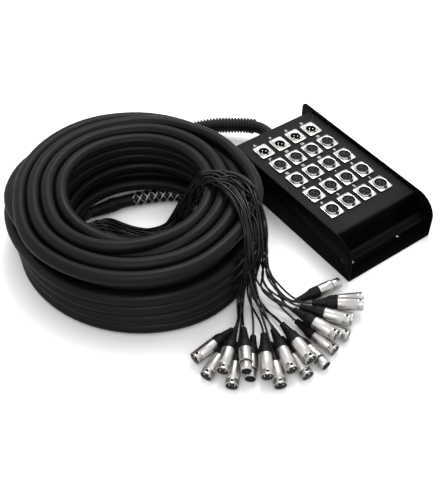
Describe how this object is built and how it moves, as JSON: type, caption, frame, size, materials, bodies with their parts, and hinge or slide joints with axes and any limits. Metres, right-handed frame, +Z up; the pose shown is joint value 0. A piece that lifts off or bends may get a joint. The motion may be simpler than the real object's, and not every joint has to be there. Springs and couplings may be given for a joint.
{
  "type": "stage box snake",
  "caption": "Low steel stage box with a grid of microphone sockets, a long coiled multicore trunk cable and a fan of cable plugs at its far end.",
  "frame": {"origin": "middle of the box's footprint, at the floor", "axes": "+X to the right side plate, +Y along the box to its cable exit, -Y to its carrying bar, +Z up"},
  "size_m": [0.5826, 0.5724, 0.1539],
  "materials": {
    "black_powder_coat": "fine-textured matt powder coat",
    "nickel": "satin nickel plate on zinc",
    "cable_jacket": "matt PVC cable jacket",
    "guard_plastic": "semi-gloss ribbed nylon",
    "grip_wire": "woven wire",
    "cord_jacket": "smooth thin cable jacket"
  },
  "bodies": {
    "box": {"chassis_tray": "black_powder_coat", "top_cover": "black_powder_coat", "carry_handle": "black_powder_coat", "wiring_loom": "cord_jacket", "strain_relief": "cable_jacket", "return_inlet_a": "nickel", "return_inlet_b": "nickel", "return_inlet_c": "nickel", "return_inlet_d": "nickel", "input_socket_16": "nickel", "input_socket_15": "nickel", "input_socket_14": "nickel", "input_socket_13": "nickel", "input_socket_12": "nickel", "input_socket_11": "nickel", "input_socket_10": "nickel", "input_socket_09": "nickel", "input_socket_08": "nickel", "input_socket_07": "nickel", "input_socket_06": "nickel", "input_socket_05": "nickel", "input_socket_04": "nickel", "input_socket_03": "nickel", "input_socket_02": "nickel", "input_socket_01": "nickel", "trunk_lead": "cable_jacket", "trunk_coil": "cable_jacket", "trunk_tail": "cable_jacket", "breakout_boot": "cable_jacket", "bend_guard": "guard_plastic", "cable_grip": "grip_wire", "fan_cords": "cord_jacket", "male_plugs_1_to_4": "nickel", "male_plugs_7_to_11": "nickel", "male_plugs_13_and_14": "nickel", "male_plugs_15_to_19": "nickel", "female_plug_5": "nickel", "female_plug_6": "nickel", "female_plug_12": "nickel", "female_plug_20": "nickel"},
    "input_latch_01": {"input_latch_01": "nickel"},
    "input_latch_02": {"input_latch_02": "nickel"},
    "input_latch_03": {"input_latch_03": "nickel"},
    "input_latch_04": {"input_latch_04": "nickel"},
    "input_latch_05": {"input_latch_05": "nickel"},
    "input_latch_06": {"input_latch_06": "nickel"},
    "input_latch_07": {"input_latch_07": "nickel"},
    "input_latch_08": {"input_latch_08": "nickel"},
    "input_latch_09": {"input_latch_09": "nickel"},
    "input_latch_10": {"input_latch_10": "nickel"},
    "input_latch_11": {"input_latch_11": "nickel"},
    "input_latch_12": {"input_latch_12": "nickel"},
    "input_latch_13": {"input_latch_13": "nickel"},
    "input_latch_14": {"input_latch_14": "nickel"},
    "input_latch_15": {"input_latch_15": "nickel"},
    "input_latch_16": {"input_latch_16": "nickel"},
    "female_latch_5": {"female_latch_5": "nickel"},
    "female_latch_6": {"female_latch_6": "nickel"},
    "female_latch_12": {"female_latch_12": "nickel"},
    "female_latch_20": {"female_latch_20": "nickel"}
  },
  "joints": [
    {"name": "input_latch_press_01", "type": "slide", "parent": "box", "child": "input_latch_01", "axis": [0, 0, -1], "range_m": [0, 0.0012], "stiffness_N_per_m": 400},
    {"name": "input_latch_press_02", "type": "slide", "parent": "box", "child": "input_latch_02", "axis": [0, 0, -1], "range_m": [0, 0.0012], "stiffness_N_per_m": 400},
    {"name": "input_latch_press_03", "type": "slide", "parent": "box", "child": "input_latch_03", "axis": [0, 0, -1], "range_m": [0, 0.0012], "stiffness_N_per_m": 400},
    {"name": "input_latch_press_04", "type": "slide", "parent": "box", "child": "input_latch_04", "axis": [0, 0, -1], "range_m": [0, 0.0012], "stiffness_N_per_m": 400},
    {"name": "input_latch_press_05", "type": "slide", "parent": "box", "child": "input_latch_05", "axis": [0, 0, -1], "range_m": [0, 0.0012], "stiffness_N_per_m": 400},
    {"name": "input_latch_press_06", "type": "slide", "parent": "box", "child": "input_latch_06", "axis": [0, 0, -1], "range_m": [0, 0.0012], "stiffness_N_per_m": 400},
    {"name": "input_latch_press_07", "type": "slide", "parent": "box", "child": "input_latch_07", "axis": [0, 0, -1], "range_m": [0, 0.0012], "stiffness_N_per_m": 400},
    {"name": "input_latch_press_08", "type": "slide", "parent": "box", "child": "input_latch_08", "axis": [0, 0, -1], "range_m": [0, 0.0012], "stiffness_N_per_m": 400},
    {"name": "input_latch_press_09", "type": "slide", "parent": "box", "child": "input_latch_09", "axis": [0, 0, -1], "range_m": [0, 0.0012], "stiffness_N_per_m": 400},
    {"name": "input_latch_press_10", "type": "slide", "parent": "box", "child": "input_latch_10", "axis": [0, 0, -1], "range_m": [0, 0.0012], "stiffness_N_per_m": 400},
    {"name": "input_latch_press_11", "type": "slide", "parent": "box", "child": "input_latch_11", "axis": [0, 0, -1], "range_m": [0, 0.0012], "stiffness_N_per_m": 400},
    {"name": "input_latch_press_12", "type": "slide", "parent": "box", "child": "input_latch_12", "axis": [0, 0, -1], "range_m": [0, 0.0012], "stiffness_N_per_m": 400},
    {"name": "input_latch_press_13", "type": "slide", "parent": "box", "child": "input_latch_13", "axis": [0, 0, -1], "range_m": [0, 0.0012], "stiffness_N_per_m": 400},
    {"name": "input_latch_press_14", "type": "slide", "parent": "box", "child": "input_latch_14", "axis": [0, 0, -1], "range_m": [0, 0.0012], "stiffness_N_per_m": 400},
    {"name": "input_latch_press_15", "type": "slide", "parent": "box", "child": "input_latch_15", "axis": [0, 0, -1], "range_m": [0, 0.0012], "stiffness_N_per_m": 400},
    {"name": "input_latch_press_16", "type": "slide", "parent": "box", "child": "input_latch_16", "axis": [0, 0, -1], "range_m": [0, 0.0012], "stiffness_N_per_m": 400},
    {"name": "female_latch_press_5", "type": "slide", "parent": "box", "child": "female_latch_5", "axis": [0, 0, -1], "range_m": [0, 0.0012], "stiffness_N_per_m": 400},
    {"name": "female_latch_press_6", "type": "slide", "parent": "box", "child": "female_latch_6", "axis": [0, 0, -1], "range_m": [0, 0.0012], "stiffness_N_per_m": 400},
    {"name": "female_latch_press_12", "type": "slide", "parent": "box", "child": "female_latch_12", "axis": [0, 0, -1], "range_m": [0, 0.0012], "stiffness_N_per_m": 400},
    {"name": "female_latch_press_20", "type": "slide", "parent": "box", "child": "female_latch_20", "axis": [0, 0, -1], "range_m": [0, 0.0012], "stiffness_N_per_m": 400}
  ]
}
